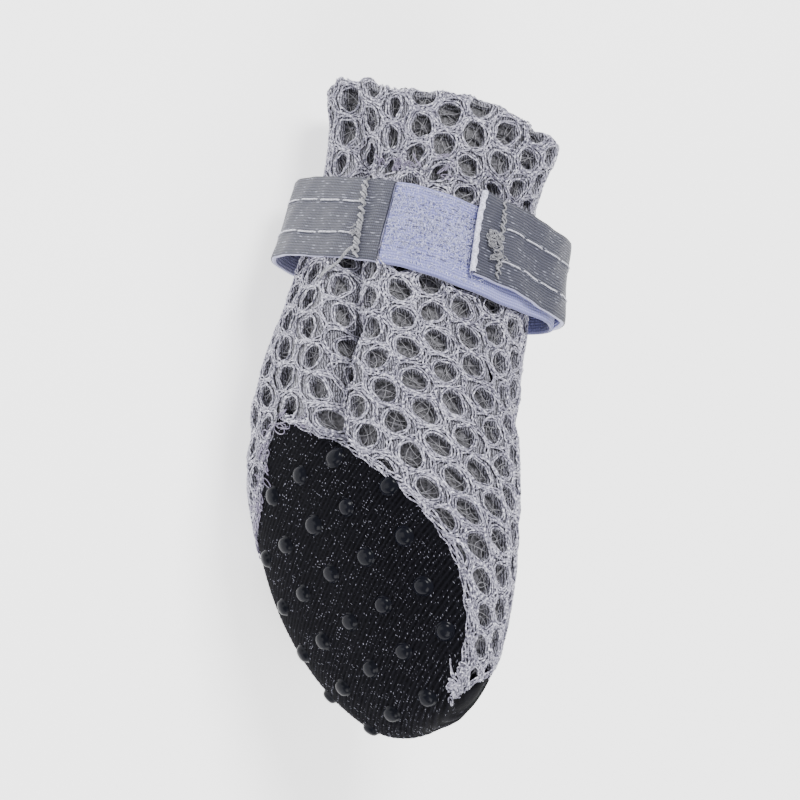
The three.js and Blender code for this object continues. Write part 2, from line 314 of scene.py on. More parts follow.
def grid_faces(rows, columns, wrap=False):
    """Quads between the points of a grid, closed round its rows if it wraps."""
    i, j = np.meshgrid(np.arange(rows - 1), np.arange(columns if wrap else columns - 1), indexing="ij")
    right = (j + 1) % columns
    here, below = i * columns, (i + 1) * columns
    return np.stack([here + j, here + right, below + right, below + j], -1).reshape(-1, 4)


def drop_unused(points, faces, *others):
    """Leaves out the points that no face uses, and the same rows of the other arrays."""
    used, renumbered = np.unique(faces, return_inverse=True)
    return [points[used], renumbered.reshape(faces.shape)] + [other[used] for other in others]


def tube_arrays(paths, normals, radius, sides=4, closed=False):
    """Tubes along M paths of K points each: an (M, K, 3) array with a guide normal at each point."""
    if closed:
        ahead = np.roll(paths, -1, 1) - np.roll(paths, 1, 1)
    else:
        ahead = np.gradient(paths, axis=1)
    ahead = unit(ahead)
    sideways = unit(np.cross(ahead, normals))
    up = np.cross(sideways, ahead)
    turn = np.arange(sides) * 2 * math.pi / sides
    radius = np.broadcast_to(np.asarray(radius, dtype=float), paths.shape[:2])[..., None, None]
    ring = np.cos(turn)[:, None] * up[..., None, :] + np.sin(turn)[:, None] * sideways[..., None, :]
    points = paths[..., None, :] + radius * ring
    m, k = paths.shape[:2]
    one = grid_faces(k + 1 if closed else k, sides, wrap=True)
    if closed:
        one = one % (k * sides)
    faces = (np.arange(m)[:, None, None] * k * sides + one[None]).reshape(-1, 4)
    return points.reshape(-1, 3), faces


def keep_faces(faces, mask):
    """The faces whose every point passes."""
    return faces[mask[faces].all(1)]


def joined(parts):
    """Several meshes as one pair of points and faces."""
    points, faces, count = [], [], 0
    for part_points, part_faces in parts:
        points.append(part_points)
        faces.append(part_faces + count)
        count += len(part_points)
    return np.concatenate(points), np.concatenate(faces)


# ---- materials -----------------------------------------------------------------------------------
class Shader:
    """A small helper that strings nodes together for one procedural material."""

    def __init__(self, name, **values):
        self.material = bpy.data.materials.new(name)
        self.material.use_nodes = True
        self.nodes, self.links = self.material.node_tree.nodes, self.material.node_tree.links
        self.surface = self.nodes["Principled BSDF"]
        for key, value in values.items():
            self.surface.inputs[key.replace("_", " ")].default_value = value

    def add(self, kind, inputs=None, **settings):
        node = self.nodes.new("ShaderNode" + kind)
        for key, value in settings.items():
            setattr(node, key, value)
        for key, value in (inputs or {}).items():
            if isinstance(value, bpy.types.NodeSocket):
                self.links.new(value, node.inputs[key])
            else:
                node.inputs[key].default_value = value
        return node

    def place(self):
        """Where on the object, in metres."""
        return self.add("TexCoord").outputs["Object"]

    def cloth(self):
        """Where along and across the flat cloth, as make_piece stored it."""
        return self.add("Attribute", attribute_name="cloth").outputs["Vector"]

    def noise(self, where, scale, detail=3.0):
        return self.add("TexNoise", {"Vector": where, "Scale": scale, "Detail": detail}).outputs["Fac"]

    def math(self, operation, a, b):
        return self.add("Math", {0: a, 1: b}, operation=operation).outputs[0]

    def remap(self, value, low, high, to_low=0.0, to_high=1.0):
        inputs = {"Value": value, "From Min": low, "From Max": high, "To Min": to_low, "To Max": to_high}
        return self.add("MapRange", inputs, interpolation_type="SMOOTHSTEP").outputs["Result"]

    def mix(self, share, first, second):
        # Sockets 6 and 7 of a Mix node take the colors, and its output 2 gives the mixed one.
        node = self.add("Mix", {"Factor": share}, data_type="RGBA")
        for socket, value in ((node.inputs[6], first), (node.inputs[7], second)):
            if isinstance(value, bpy.types.NodeSocket):
                self.links.new(value, socket)
            else:
                socket.default_value = (*value, 1.0)
        return node.outputs[2]

    def wave(self, where, scale, direction="X", distortion=0.0):
        node = self.add("TexWave", {"Vector": where, "Scale": scale, "Distortion": distortion},
                        wave_type="BANDS", bands_direction=direction)
        return node.outputs["Fac"]

    def cells(self, where, scale, randomness=1.0):
        inputs = {"Vector": where, "Scale": scale, "Randomness": randomness}
        return self.add("TexVoronoi", inputs).outputs["Distance"]

    def finish(self, color, height, distance, strength=0.6, roughness=None):
        """Links the color, the height as bump of so many metres, and the roughness if it varies."""
        self.links.new(color, self.surface.inputs["Base Color"])
        if roughness is not None:
            self.links.new(roughness, self.surface.inputs["Roughness"])
        bump = self.add("Bump", {"Height": height, "Distance": distance, "Strength": strength})
        self.links.new(bump.outputs["Normal"], self.surface.inputs["Normal"])
        return self.material


def yarn_material():
    s = Shader("mesh_yarn", Roughness=0.38, Specular_IOR_Level=0.6)
    where = s.place()
    broad = s.noise(where, 90.0)
    small = s.noise(where, 2300.0, 3.0)
    tone = s.mix(s.remap(broad, 0.35, 0.65), (0.27, 0.26, 0.34), (0.4, 0.39, 0.48))
    # near-white speckles on the yarn are painted highlights on its twisted filaments
    tone = s.mix(s.remap(small, 0.56, 0.66), tone, (0.86, 0.85, 0.95))
    # near-black speckles are painted shade in the gaps between the filaments
    tone = s.mix(s.remap(small, 0.38, 0.5), (0.06, 0.057, 0.085), tone)
    return s.finish(tone, height=small, distance=0.00012, strength=0.9)


def face_material():
    s = Shader("mesh_face", Roughness=0.62, Sheen_Weight=0.2)
    where = s.place()
    fibre = s.noise(where, 3200.0, 4.0)
    strands = s.wave(where, 900.0, "DIAGONAL", 7.0)
    # the knit's ground goes near-black in diagonal streaks: painted shade of the recesses between the yarns,
    # over the strands' own grey
    tone = s.mix(s.remap(strands, 0.3, 0.75), (0.013, 0.012, 0.019), (0.26, 0.255, 0.315))
    # dark fibre flecks here are painted shade as well
    tone = s.mix(s.remap(fibre, 0.5, 0.36), tone, (0.012, 0.011, 0.018))
    return s.finish(tone, height=fibre, distance=0.00025, strength=0.9)


def net_material():
    s = Shader("mesh_net", Roughness=0.6)
    where = s.place()
    pores = s.cells(where, 1500.0)
    fibre = s.noise(where, 1900.0, 4.0)
    curls = s.wave(where, 420.0, "DIAGONAL", 9.0)
    # the back net's dark tones are partly its own grey and partly painted shade under the knit
    tone = s.mix(s.remap(curls, 0.3, 0.8), (0.036, 0.035, 0.041), (0.063, 0.062, 0.071))
    tone = s.mix(s.remap(fibre, 0.45, 0.62), tone, (0.115, 0.112, 0.13))
    # near-black pores are painted shade seen through the net's openings
    tone = s.mix(s.remap(pores, 0.28, 0.42), (0.012, 0.012, 0.016), tone)
    return s.finish(tone, height=s.math("ADD", pores, fibre), distance=0.00018)


def plain_thread(name, color, roughness=0.5):
    s = Shader(name, Roughness=roughness, Sheen_Weight=0.2)
    small = s.noise(s.place(), 2600.0, 2.0)
    darker = tuple(0.55 * channel for channel in color)
    return s.finish(s.mix(s.remap(small, 0.35, 0.6), darker, color), height=small, distance=0.00008)


def twill_material():
    s = Shader("black_twill", Roughness=0.7, Specular_IOR_Level=0.04)
    where = s.place()
    fibre = s.noise(where, 2400.0, 3.0)
    tone = s.mix(s.remap(fibre, 0.38, 0.66), (0.0012, 0.0012, 0.002), (0.004, 0.004, 0.006))
    threads = s.cloth()
    # rib crests are painted a little lighter than the grooves: painted light and shade of the ribs
    from_crest = s.math("PINGPONG", s.add("SeparateXYZ", {0: threads}).outputs[0], 0.5)
    tone = s.mix(s.remap(from_crest, 0.3, 0.06), tone, (0.0055, 0.0055, 0.0078))
    # pale specks along the ribs are painted glints of the twill's shiny filaments
    lit = s.remap(s.noise(where, 200.0, 2.0), 0.3, 0.52)
    glint = s.math("MULTIPLY", s.remap(s.cells(threads, 1.5, randomness=0.3), 0.2, 0.08), lit)
    sparkle = s.remap(s.noise(where, 1300.0, 1.0), 0.42, 0.58)
    tone = s.mix(s.math("MULTIPLY", glint, sparkle), tone, (0.3, 0.3, 0.37))
    return s.finish(tone, height=fibre, distance=0.00012)


def dot_material():
    s = Shader("dot_rubber", Specular_IOR_Level=0.08)
    grain = s.noise(s.place(), 900.0, 2.0)
    tone = s.mix(grain, (0.003, 0.0035, 0.006), (0.006, 0.0065, 0.01))
    shine = s.remap(grain, 0.3, 0.7, 0.16, 0.26)
    return s.finish(tone, height=grain, distance=0.00004, roughness=shine)


def ribbon_material():
    s = Shader("grey_ribbon", Roughness=0.5, Specular_IOR_Level=0.4)
    flat = s.cloth()
    ribs = s.wave(flat, 0.62, "Y")
    cross = s.wave(flat, 0.85, "X", 0.4)
    grain = s.noise(flat, 5.0, 4.0)
    stretched = s.add("VectorMath", {0: flat, 1: (0.55, 1.9, 1.0)}, operation="MULTIPLY").outputs[0]
    glint = s.cells(stretched, 1.2)
    tone = s.mix(s.remap(ribs, 0.05, 0.6), (0.022, 0.023, 0.034), (0.062, 0.064, 0.092))
    tone = s.mix(s.math("MULTIPLY", s.remap(cross, 0.3, 0.0), 0.5), tone, (0.042, 0.044, 0.064))
    # pale lavender spots on the rib crests are painted glints
    on_crest = s.math("MULTIPLY", s.remap(glint, 0.34, 0.16), s.remap(ribs, 0.5, 0.9))
    tone = s.mix(s.math("MULTIPLY", on_crest, 0.7), tone, (0.35, 0.36, 0.46))
    underside = s.add("SeparateXYZ", {0: flat}).outputs[2]
    tone = s.mix(s.remap(underside, 20.0, 30.0), tone, (0.46, 0.46, 0.66))
    height = s.math("ADD", ribs, s.math("MULTIPLY", s.math("ADD", cross, grain), 0.35))
    return s.finish(tone, height=height, distance=0.00014, strength=0.8)


def tape_material():
    s = Shader("loop_tape", Roughness=0.8, Sheen_Weight=0.4)
    flat = s.cloth()
    ribs = s.wave(flat, 0.62, "Y")
    cross = s.wave(flat, 0.7, "X", 0.5)
    grain = s.noise(flat, 4.0, 4.0)
    tone = s.mix(s.remap(ribs, 0.1, 0.6), (0.15, 0.155, 0.37), (0.27, 0.28, 0.58))
    tone = s.mix(s.math("MULTIPLY", s.remap(cross, 0.5, 0.1), 0.4), tone, (0.14, 0.145, 0.35))
    height = s.math("ADD", ribs, s.math("ADD", cross, grain))
    return s.finish(tone, height=height, distance=0.00012)


YARN, FACE, NET = yarn_material(), face_material(), net_material()
TWILL, RUBBER = twill_material(), dot_material()
RIBBON, TAPE = ribbon_material(), tape_material()
# the pale colour of the sole's glint bits is painted glints
GLINT = plain_thread("twill_glint", (0.27, 0.275, 0.34), 0.3)
WHITE_THREAD = plain_thread("white_thread", (0.62, 0.62, 0.72))
GREY_THREAD = plain_thread("grey_thread", (0.30, 0.30, 0.33))
VIOLET_THREAD = plain_thread("violet_thread", (0.24, 0.21, 0.32))
# the dark lilac of the tape's dashes is painted shade in the gaps of the weave
WEAVE_GAP_SHADE = plain_thread("weave_gap_shade", (0.10, 0.10, 0.2))
PILE = plain_thread("loop_pile", (0.68, 0.69, 0.98), 0.5)
FIBRE = plain_thread("net_fibre", (0.31, 0.305, 0.34), 0.4)
CUT_EDGE = plain_thread("cut_edge", (0.72, 0.72, 0.92), 0.6)

# ---- upper: where the holes of the knit lie ------------------------------------------------------
HOLE_COLUMNS = 22
COLUMN_ANGLE = 360 / HOLE_COLUMNS
FIRST_COLUMN = 26.3         # angle of the first column at the rim
ROW_PITCH = 5.45
ROW_START = (2.65, -0.05)   # arc of the first hole; even and odd columns are half a row apart
HOLE_RADIUS = 2.02
HEM = 11.0                  # the knit goes this far over the rim and back inside
PLEAT_SPREAD = 9            # degrees
PLEAT_END = 62              # the pleat squeezes the holes above this arc
GATHER_ARC = 12.5           # the gathers make the holes smaller about this arc
GATHER_REACH = 2.4
YARN_RADIUS = 0.15


def drift(arc):
    """The columns wander towards the outer flank as they go down to the foot."""
    return np.interp(arc, (15, 40, 57, 66, 76, 84, 92, 104), (0, 8, 20, 26, 33, 36, 39, 41))


def row_phase(column):
    """Arc of a column's first hole."""
    return np.where(column % 2 == 0, *ROW_START)


def knit(column, arc, height):
    """A point of the cloth by hole column, which need not be a whole number, and its normal."""
    return cloth(FIRST_COLUMN + COLUMN_ANGLE * column + drift(arc), arc, height)


def panel_depth(column, arc):
    """Millimetres inside the sole panel, negative outside it."""
    return lookup(PANEL, FIRST_COLUMN + COLUMN_ANGLE * column + drift(arc), np.maximum(arc, 0))


def column_width(column, arc):
    """Millimetres from one column to the next."""
    ahead, _ = knit(column + 0.5, arc, np.zeros_like(arc))
    behind, _ = knit(column - 0.5, arc, np.zeros_like(arc))
    return np.linalg.norm(ahead - behind, axis=-1)


def near_hole(x, y, height):
    """The point some millimetres round (x) and down (y) from each hole's middle; arrays start with holes."""
    shape = (HOLES,) + (1,) * (np.ndim(x) - 1)
    angle = HOLE_ANGLE.reshape(shape) + x / HOLE_WIDTH.reshape(shape) * COLUMN_ANGLE
    arc = HOLE_ARC.reshape(shape) + y
    return cloth(angle, arc, height), lookup(PANEL, angle, np.maximum(arc, 0))


def hole_centres():
    """Column and arc of each hole's middle, a little off the regular honeycomb."""
    rows = np.arange(-3, int(LENGTH / ROW_PITCH) + 1)
    column, row = np.meshgrid(np.arange(HOLE_COLUMNS), rows, indexing="ij")
    arc = row * ROW_PITCH + row_phase(column)
    column, arc = column.ravel() * 1.0, arc.ravel()
    keep = (arc > -HEM) & (arc < LENGTH - 9) & (panel_depth(column, arc) < 1.6)
    column, arc = column[keep], arc[keep]
    arc = arc + rng.normal(0, 0.16, arc.shape)
    column = column + rng.normal(0, 0.025, arc.shape)
    return column, arc


HOLE_COLUMN, HOLE_ARC = hole_centres()
HOLE_WIDTH = column_width(HOLE_COLUMN, HOLE_ARC)
HOLES = len(HOLE_COLUMN)
HOLE_ANGLE = FIRST_COLUMN + COLUMN_ANGLE * HOLE_COLUMN + drift(HOLE_ARC)
squeezed = np.exp(-(turn_between(HOLE_ANGLE, PLEAT_ANGLE) / PLEAT_SPREAD) ** 2) * (HOLE_ARC < PLEAT_END)
gathered = np.exp(-((HOLE_ARC - GATHER_ARC) / GATHER_REACH) ** 2)
HOLE_X = np.minimum(HOLE_RADIUS, 0.4 * HOLE_WIDTH) * (1 - 0.42 * squeezed) * rng.normal(1, 0.05, HOLES)
HOLE_X = HOLE_X * (1 - 0.22 * gathered)
HOLE_Y = HOLE_RADIUS * rng.normal(1.0, 0.05, HOLES) * (1 - 0.18 * gathered)
HOLE_TILT = rng.normal(0, 0.14, HOLES)


def round_hole(turn, grow, height):
    """Points round each hole at some angles, with its radii grown; all arrays are (holes, angles)."""
    x = (HOLE_X[:, None] + grow) * np.cos(turn)
    y = (HOLE_Y[:, None] + grow) * np.sin(turn)
    return near_hole(x + y * HOLE_TILT[:, None], y, height)


def cell_reach(turn):
    """How far each hole's cell of cloth goes in a direction before the next hole's begins."""
    reach = np.full((HOLES, turn.shape[-1]), 9.0)
    for across, down in ((0, 1), (0, -1), (1, 0.5), (1, -0.5), (-1, 0.5), (-1, -0.5)):
        next_y = down * ROW_PITCH
        wander = (drift(HOLE_ARC + next_y) - drift(HOLE_ARC)) / COLUMN_ANGLE
        next_x = ((across + wander) * HOLE_WIDTH)[:, None]
        towards = np.cos(turn) * next_x + np.sin(turn) * next_y
        limit = (next_x ** 2 + next_y ** 2) / 2 / np.maximum(towards, 1e-6)
        reach = np.where(towards > 1e-6, np.minimum(reach, limit), reach)
    return reach


def upper_face():
    """The knit's solid ground: a cell round each hole, from the hole's wall out to the next cells."""
    count = 26
    turn = np.arange(count)[None] * 2 * math.pi / count
    reach = cell_reach(turn)
    radius = 1 / np.sqrt((np.cos(turn) / HOLE_X[:, None]) ** 2 + (np.sin(turn) / HOLE_Y[:, None]) ** 2)
    layers, depths = [], []
    profile = (
        # beyond the hole's edge, share of the way to the cell's edge, height
        (-0.05, 0, -NET_DEPTH - 0.15), (0.0, 0, -0.5), (0.1, 0, -0.16), (0.4, 0.45, -0.05), (0, 1, -0.2),
    )
    for beyond, share, height in profile:
        at = radius + beyond + np.maximum(reach * 1.04 - radius - beyond, 0) * share
        (points, _), depth = near_hole(at * np.cos(turn), at * np.sin(turn), height)
        layers.append(points)
        depths.append(depth)
    points = np.stack(layers, 1)
    depth = np.stack(depths, 1).reshape(-1)
    one = grid_faces(len(profile), count, wrap=True)
    faces = (np.arange(HOLES)[:, None, None] * len(profile) * count + one[None]).reshape(-1, 4)
    faces = keep_faces(faces, depth < 0.12)
    points, faces = drop_unused(points.reshape(-1, 3), faces)
    return make_piece("upper_knit", points, faces, FACE, "spacer_mesh")


def clipped_tubes(points, normals, depth, radius, sides=4, margin=0.2, closed=False):
    """Tubes without what lies further inside the sole panel than the margin."""
    tubes, faces = tube_arrays(points, normals, radius, sides, closed)
    faces = keep_faces(faces, np.repeat(depth.reshape(-1), sides) < margin)
    return drop_unused(tubes, faces)


def knit_yarns(column, arc, height, radius):
    """Yarns along paths given by column, arc and height, each path a row of the arrays."""
    points, normals = knit(column, arc, height)
    return clipped_tubes(points, normals, panel_depth(column, arc), radius)


def upper_rings():
    """Yarns that run round each hole."""
    count = 24
    turn = np.arange(count)[None] * 2 * math.pi / count
    parts = []
    for grow, height in ((0.1, 0.0), (0.42, 0.14)):
        lobes = rng.uniform(0, 2 * math.pi, (HOLES, 2))
        wobble = 0.1 * np.sin(3 * turn + lobes[:, :1]) + 0.08 * np.sin(5 * turn + lobes[:, 1:])
        lift = height + 0.13 * np.sin(6 * turn + lobes[:, :1])
        (points, normals), depth = round_hole(turn, grow + wobble, lift)
        parts.append(clipped_tubes(points, normals, depth, YARN_RADIUS, closed=True))
    return make_piece("upper_ring_yarns", *joined(parts), YARN, "spacer_mesh")


def upper_waves():
    """Braided yarns that wind down between two columns of holes."""
    strands = 3
    arc = np.arange(-HEM, LENGTH - 7, 0.42)[None, None]
    column = np.arange(HOLE_COLUMNS)[:, None, None]
    strand = np.arange(strands)[None, :, None]
    side = np.cos(2 * math.pi * (arc - row_phase(column)) / ROW_PITCH)
    braid = np.sin(2 * math.pi * (arc / (ROW_PITCH * 1.5) + strand / strands) + column)
    jitter = rng.normal(0, 0.05, (HOLE_COLUMNS, strands, arc.shape[-1]))
    width = column_width(column + 0.5 + 0 * arc, arc + 0 * column)
    offset = (0.52 * side + 0.42 * braid + jitter) / np.maximum(width, 2.5)
    height = 0.2 + 0.13 * np.cos(4 * math.pi * arc / ROW_PITCH + 2 * strand + column) + 0 * offset
    column, arc = column + 0.5 + offset, arc + 0 * offset
    shape = (HOLE_COLUMNS * strands, -1)
    paths = (values.reshape(shape) for values in (column, arc, height))
    return make_piece("upper_wave_yarns", *knit_yarns(*paths, YARN_RADIUS), YARN, "spacer_mesh")


def upper_bridges():
    """Short yarns that cross between one hole and the next in its column."""
    across = np.linspace(-0.5, 0.5, 8)[None, None]
    bridges = (
        # where it starts and ends down the column, and how high it runs
        (-0.75, 0.75, 0.22), (0.75, -0.75, 0.14), (-0.12, 0.2, 0.27), (0.3, -0.35, 0.08),
    )
    parts = []
    for start, end, lift in bridges:
        slope = start + (end - start) * (across + 0.5)
        down = ROW_PITCH / 2 + slope + rng.normal(0, 0.13, (HOLES, 1, across.shape[-1]))
        column = HOLE_COLUMN[:, None, None] + across * 0.92 + 0 * down
        arc = HOLE_ARC[:, None, None] + down
        height = lift + 0.1 * np.cos(across * 9 + HOLE_COLUMN[:, None, None]) + 0 * down
        parts.append([value.reshape(HOLES, -1) for value in (column, arc, height)])
    paths = (np.concatenate(values) for values in zip(*parts))
    return make_piece("upper_bridge_yarns", *knit_yarns(*paths, 0.14), YARN, "spacer_mesh")


def upper_fibres():
    """Fine curly fibres that stand behind each hole."""
    count, steps = 5, 7
    share = np.linspace(-1, 1, steps)[None, None]
    heading = rng.uniform(0, math.pi, (HOLES, count, 1))
    offset = rng.uniform(-0.75, 0.75, (HOLES, count, 1))
    curl = rng.uniform(-0.5, 0.5, (HOLES, count, 1))
    reach = np.sqrt(1 - offset ** 2)
    along, aside = share * reach, offset + curl * (share ** 2 - 0.5)
    x = (along * np.cos(heading) - aside * np.sin(heading)) * HOLE_X[:, None, None]
    y = (along * np.sin(heading) + aside * np.cos(heading)) * HOLE_Y[:, None, None]
    height = -1.2 + 0.4 * (share ** 2) + rng.uniform(0, 0.35, (HOLES, count, 1))
    (points, normals), depth = near_hole(x, y, height)
    points, normals = points.reshape(-1, steps, 3), normals.reshape(-1, steps, 3)
    fibres = clipped_tubes(points, normals, depth, 0.06, sides=3, margin=-0.3)
    return make_piece("upper_net_fibres", *fibres, FIBRE, "spacer_mesh")


def upper_net():
    """The fine net at the back of the spacer mesh, a thin shell of two sheets under the knit."""
    angle, arc = np.meshgrid(np.arange(0, 360, 3.0), np.arange(0.3, LENGTH - 1, 0.8))
    outside, _ = cloth(angle, arc, -NET_DEPTH)
    inside, _ = cloth(angle, arc, -WALL + 0.05)
    outside, inside = outside.reshape(-1, 3), inside.reshape(-1, 3)
    sheet = grid_faces(*angle.shape, wrap=True)
    points, faces = joined([(outside, sheet), (inside, sheet[:, ::-1])])
    bare = np.tile((lookup(PANEL, angle, arc) < 0.5).reshape(-1), 2)
    return make_piece("upper_back_net", *drop_unused(points, keep_faces(faces, bare)), NET, "spacer_mesh")


for piece in (upper_face(), upper_rings(), upper_waves(), upper_bridges(), upper_fibres(), upper_net()):
    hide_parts("upper")

# ---- the seam round the sole panel ---------------------------------------------------------------


def station_where(angle, still_before, low, high):
    """Halving search for the station at each angle where a test of the skin's points stops being true."""
    low, high = np.full_like(angle, low), np.full_like(angle, high)
    for _ in range(26):
        middle = (low + high) / 2
        before = still_before(skin(middle, angle))
        low, high = np.where(before, middle, low), np.where(before, high, middle)
    return low


def arc_of_station(angle, station):
    """Arc from the rim of each station, read off the nearest whole angle."""
    rows = np.round(np.mod(angle, 360)).astype(int) % 360
    return np.array([np.interp(-s, -FINE_STATIONS, FINE_ARCS[row]) for row, s in zip(rows, station)])


def seam_line(spacing=0.35):
    """Angles and arcs round the panel's edge: down the outer flank, over the toe and back up the inner."""
    station = np.linspace(PANEL_TOP, 0.6, 240)
    sides = []
    for column in (1, 2):
        angle = np.interp(station, PANEL_EDGE[:, 0], PANEL_EDGE[:, column])
        outside = cap_depth(skin(station, angle)) < 0
        sides.append((angle[outside], station[outside]))
    (outer_angle, outer_station), (inner_angle, inner_station) = sides
    cap_angle = np.arange(outer_angle[-1] + 1, 359 + inner_angle[-1], 2.0)
    cap_station = station_where(cap_angle, lambda point: cap_depth(point) > 0, 0.0, 3.0)
    angle = np.concatenate([outer_angle, cap_angle, 360 + inner_angle[::-1]])
    station = np.concatenate([outer_station, cap_station, inner_station[::-1]])
    place = skin(station, angle)
    walked = np.concatenate([[0], np.linalg.norm(np.diff(place, axis=0), axis=1).cumsum()])
    even = np.arange(0, walked[-1], spacing)
    angle, station = np.interp(even, walked, angle), np.interp(even, walked, station)
    return angle, arc_of_station(angle, station)


SEAM_YARNS = 5
SEAM_HAIRS = 260


def seam_yarns():
    """Yarns of the knit that run along its cut edge, and short ends that stray over the twill."""
    angle, arc = seam_line()
    point, normal = cloth(angle, arc, 0.0)
    ahead = unit(np.gradient(point, axis=0))
    away = unit(np.cross(normal, ahead))
    step = np.arange(len(angle))
    paths = []
    for k in range(SEAM_YARNS):
        offset = -0.1 + 0.3 * k + 0.16 * np.sin(step * 0.55 + k * 2.1) + 0.1 * np.sin(step * 0.21 + k)
        height = -0.12 + 0.16 * np.sin(step * 0.45 + k * 1.3) + 0.05 * k
        paths.append(point + away * offset[:, None] + normal * height[:, None])
    guides = np.broadcast_to(normal, (len(paths), *normal.shape))
    strands = tube_arrays(np.stack(paths), guides, YARN_RADIUS, 4)
    start = rng.integers(0, len(angle), SEAM_HAIRS)
    share = np.linspace(0, 1, 6)[None, :, None]
    lean = rng.normal(0, 0.7, (SEAM_HAIRS, 1, 1))
    length = rng.uniform(0.5, 1.5, (SEAM_HAIRS, 1, 1))
    hairs = point[start, None] + away[start, None] * (0.9 - length * share)
    hairs = hairs + ahead[start, None] * (lean * share * length + 0.2 * np.sin(share * 5 + lean * 4))
    hairs = hairs + normal[start, None] * (0.12 + 0.15 * np.sin(share * math.pi))
    ends = tube_arrays(hairs, np.broadcast_to(normal[start, None], hairs.shape), 0.055, 3)
    return make_piece("upper_seam_yarns", *joined([strands, ends]), YARN, "spacer_mesh")


FOOT_RADIUS = 17.0          # turns millimetres round the foot into degrees, for small bits of thread
SHAFT_RADIUS = 18.0         # the same for threads on the shaft and glints on the sole


def tangle(middle_angle, middle_arc, spread, count, reach, radius, height=0.3):
    """Curling thread ends scattered about a place on the cloth; spread is millimetres round and down."""
    share = np.linspace(0, 1, 26)[None]
    turn = 2 * math.pi * share
    centre = rng.normal(0, 1, (2, count, 1)) * np.array(spread)[:, None, None]
    phase = rng.uniform(0, 2 * math.pi, (4, count, 1))
    turns = rng.uniform(0.6, 1.6, (4, count, 1))
    x = centre[0] + reach * (np.sin(turns[0] * turn + phase[0]) + 0.4 * np.sin(9 * share + phase[2]))
    y = centre[1] + reach * (np.cos(turns[1] * turn + phase[1]) + 0.4 * np.sin(8 * share + phase[3]))
    above = height * (0.7 + 0.5 * np.sin(turns[2] * turn + phase[2]))
    points, normals = cloth(middle_angle + np.degrees(x / FOOT_RADIUS), middle_arc + y, above)
    return tube_arrays(points, normals, radius, 4)


def seam_tangles():
    """Violet threads along the panel's inner flank, at its top, and at the collar's gathers."""
    angle, arc = seam_line()
    parts = [tangle(angle[k], arc[k] - 0.6, (1.2, 0.5), 3, 0.8, 0.1) for k in range(-8, -130, -7)]
    parts += [tangle(angle[k], arc[k] - 0.4, (0.8, 0.4), 2, 0.6, 0.09) for k in (2, 8, 15)]
    parts += [tangle(at, GATHER_ARC + 0.1, (1.3, 0.7), 4, 0.7, 0.11, 0.5) for at in (20, 32, 46, 60)]
    return make_piece("upper_violet_thread", *joined(parts), VIOLET_THREAD, "spacer_mesh")


def toe_fray():
    """The knit's pointed end by the toe, where its yarns come loose over the twill."""
    angle, arc = seam_line()
    corner = np.argmax(arc[:len(arc) // 2])
    parts = [
        tangle(angle[corner] - 4, arc[corner] - 1.2, (0.9, 1.2), 16, 0.9, 0.12, 0.35),
        tangle(angle[corner] + 1, arc[corner] - 3.0, (0.9, 1.6), 10, 1.1, 0.12, 0.3),
    ]
    return make_piece("upper_toe_fray", *joined(parts), YARN, "spacer_mesh")


for piece in (seam_yarns(), seam_tangles(), toe_fray()):
    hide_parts("upper")

# ---- sole panel: black twill with rubber dots ----------------------------------------------------
SOLE_REACH = 78.0           # the panel lies within this much arc of the toe's tip
SOLE_WALL = 1.6
RIB_PITCH = 0.95
RIB_SLANT = 0.67            # how far a rib leans along x for each millimetre of z
DOT_PITCH = 8.4
DOT_RADIUS = 1.42
DOT_HEIGHT = 0.9
DOT_MIDDLE = 3              # the angle that the columns are counted from
DOT_COLUMNS = [
    # place of the column in pitches, x of its first dot, how many dots
    (-2.17, -8.1, 4), (-1.17, -17.4, 6), (-0.17, -18.6, 6), (0.83, -19.2, 6), (1.83, -11.2, 4),
]


def rib_count(points):
    """How many ribs there are up to a point."""
    return (points[..., 0] + RIB_SLANT * points[..., 2]) / RIB_PITCH


def rib_wave(points):
    return np.cos(2 * math.pi * rib_count(points))


def sole_cloth(angle, arc, extra=0.0):
    """The panel's face: twill ribs, and its edge tucked under the knit."""
    depth = lookup(PANEL, angle, arc)
    rib = 0.15 * rib_wave(lookup(BARE, angle, arc)) * smooth(depth, 0.0, 1.0)
    tuck = 0.55 * (1 - smooth(depth, -0.6, 0.7))
    return cloth(angle, arc, rib - tuck - 0.12 + extra)[0], depth


def sole_layer(angle_step, arc_step, extra):
    """Points, faces and thread counts of the panel's cloth at one height over the last."""
    angle = np.arange(-180, 180, angle_step)
    angle, arc = np.meshgrid(angle, np.arange(LENGTH - SOLE_REACH, LENGTH, arc_step))
    points, depth = sole_cloth(angle, arc, extra)
    threads = np.stack([rib_count(lookup(BARE, angle, arc)), angle / 1.6], -1)
    faces = keep_faces(grid_faces(*angle.shape, wrap=True), (depth > -1.0).reshape(-1))
    return drop_unused(points.reshape(-1, 3), faces, threads.reshape(-1, 2))


def sole_panel():
    """The ribbed outside of the panel, and its smooth lining facing in."""
    outside, faces, threads = sole_layer(0.85, 0.22, 0)
    lining, lining_faces, lining_threads = sole_layer(4.5, 0.7, -SOLE_WALL)
    panel = joined([(outside, faces), (lining, lining_faces[:, ::-1])])
    return make_piece("sole_twill", *panel, TWILL, "black_twill", np.concatenate([threads, lining_threads]))


def station_with_x(angle, x):
    """The station at each angle where the last has come down to an x, under the foot."""
    return station_where(angle, lambda point: point[..., 0] > x, 0.0, 7.0)


def dot_places():
    """Angle and arc of each grip dot: columns are measured round the sole at the dot's x."""
    places = []
    for column, first, count in DOT_COLUMNS:
        for i in range(count):
            x = first + i * DOT_PITCH
            turn = DOT_MIDDLE + np.sign(column) * np.arange(0, 140, 1.0)
            station = station_with_x(turn, x)
            walked = np.linalg.norm(np.diff(skin(station, turn), axis=0), axis=1).cumsum()
            at = np.interp(abs(column) * DOT_PITCH, walked, np.arange(1, len(turn)))
            angle = np.array([DOT_MIDDLE + np.sign(column) * at])
            places.append((angle[0], arc_of_station(angle, station_with_x(angle, x))[0]))
    return places


